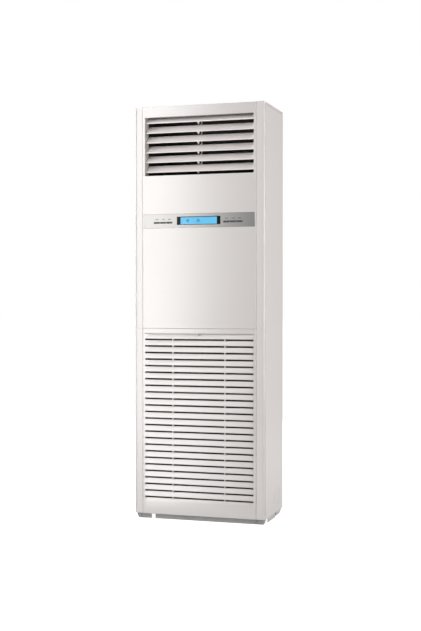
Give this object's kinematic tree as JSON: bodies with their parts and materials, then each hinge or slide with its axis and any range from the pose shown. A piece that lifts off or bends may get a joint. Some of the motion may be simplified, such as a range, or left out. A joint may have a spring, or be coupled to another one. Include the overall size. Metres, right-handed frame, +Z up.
{
  "type": "floor standing air conditioner",
  "caption": "Tall floor standing air conditioner cabinet with tilting louvre blades, a lit control strip and a slatted intake grille.",
  "frame": {"origin": "on the floor under the middle of the cabinet", "axes": "+Z up, -Y towards the front with the louvres and the grille, +X to the right seen from the front"},
  "size_m": [0.6, 0.32, 1.83],
  "materials": {
    "moulded_white": "satin",
    "enamel": "satin enamel",
    "plinth_grey": "matt moulded",
    "galvanised": "zinc coated",
    "satin_silver": "satin",
    "gloss_black": "gloss",
    "lit_blue": "lit display",
    "key_rubber": "matt",
    "duct_black": "matt",
    "link_grey": "matt",
    "filter_frame": "matt",
    "filter_cloth": "open weave",
    "screw_steel": "plated"
  },
  "bodies": {
    "root": {"base_pan": "galvanised", "front_left_foot": "plinth_grey", "front_right_foot": "plinth_grey", "rear_left_foot": "plinth_grey", "rear_right_foot": "plinth_grey", "left_base_rail": "plinth_grey", "right_base_rail": "plinth_grey", "kick_plate": "plinth_grey", "rear_base_rail": "plinth_grey", "left_side_panel": "enamel", "right_side_panel": "enamel", "back_panel": "enamel", "top_cover": "enamel", "lower_left_pillar": "moulded_white", "lower_right_pillar": "moulded_white", "upper_left_pillar": "moulded_white", "upper_right_pillar": "moulded_white", "upper_front_panel": "moulded_white", "control_strip": "satin_silver", "display_bezel": "gloss_black", "display_panel": "lit_blue", "left_key_mat": "key_rubber", "right_key_mat": "key_rubber", "intake_grille": "moulded_white", "grille_screw": "screw_steel", "air_filter_frame": "filter_frame", "air_filter_cloth": "filter_cloth", "discharge_duct": "duct_black"},
    "louver_1": {"louver_1": "moulded_white"},
    "louver_2": {"louver_2": "moulded_white"},
    "louver_3": {"louver_3": "moulded_white"},
    "louver_4": {"louver_4": "moulded_white"},
    "louver_5": {"louver_5": "moulded_white"},
    "louver_6": {"louver_6": "moulded_white"},
    "link_bar": {"louver_link_bar": "link_grey"}
  },
  "joints": [
    {"name": "louver_1_tilt", "type": "hinge", "parent": "root", "child": "louver_1", "pos_m": [0, -0.13, 1.77345], "axis": [1, 0, 0], "range_deg": [-39, 10]},
    {"name": "louver_2_tilt", "type": "hinge", "parent": "root", "child": "louver_2", "pos_m": [0, -0.13, 1.72995], "axis": [1, 0, 0], "range_deg": [-39, 10]},
    {"name": "louver_3_tilt", "type": "hinge", "parent": "root", "child": "louver_3", "pos_m": [0, -0.13, 1.68645], "axis": [1, 0, 0], "range_deg": [-39, 10]},
    {"name": "louver_4_tilt", "type": "hinge", "parent": "root", "child": "louver_4", "pos_m": [0, -0.13, 1.64295], "axis": [1, 0, 0], "range_deg": [-39, 10]},
    {"name": "louver_5_tilt", "type": "hinge", "parent": "root", "child": "louver_5", "pos_m": [0, -0.13, 1.59945], "axis": [1, 0, 0], "range_deg": [-39, 10]},
    {"name": "louver_6_tilt", "type": "hinge", "parent": "root", "child": "louver_6", "pos_m": [0, -0.13, 1.55595], "axis": [1, 0, 0], "range_deg": [-39, 10]},
    {"name": "link_bar_pin", "type": "hinge", "parent": "louver_1", "child": "link_bar", "pos_m": [-0.007, -0.09324, 1.79113], "axis": [1, 0, 0], "range_deg": [-10, 39]}
  ],
  "couplings": [
    {"joint": "louver_2_tilt", "follows": "louver_1_tilt", "ratio": 1},
    {"joint": "louver_3_tilt", "follows": "louver_1_tilt", "ratio": 1},
    {"joint": "louver_4_tilt", "follows": "louver_1_tilt", "ratio": 1},
    {"joint": "louver_5_tilt", "follows": "louver_1_tilt", "ratio": 1},
    {"joint": "louver_6_tilt", "follows": "louver_1_tilt", "ratio": 1},
    {"joint": "link_bar_pin", "follows": "louver_1_tilt", "ratio": -1}
  ]
}
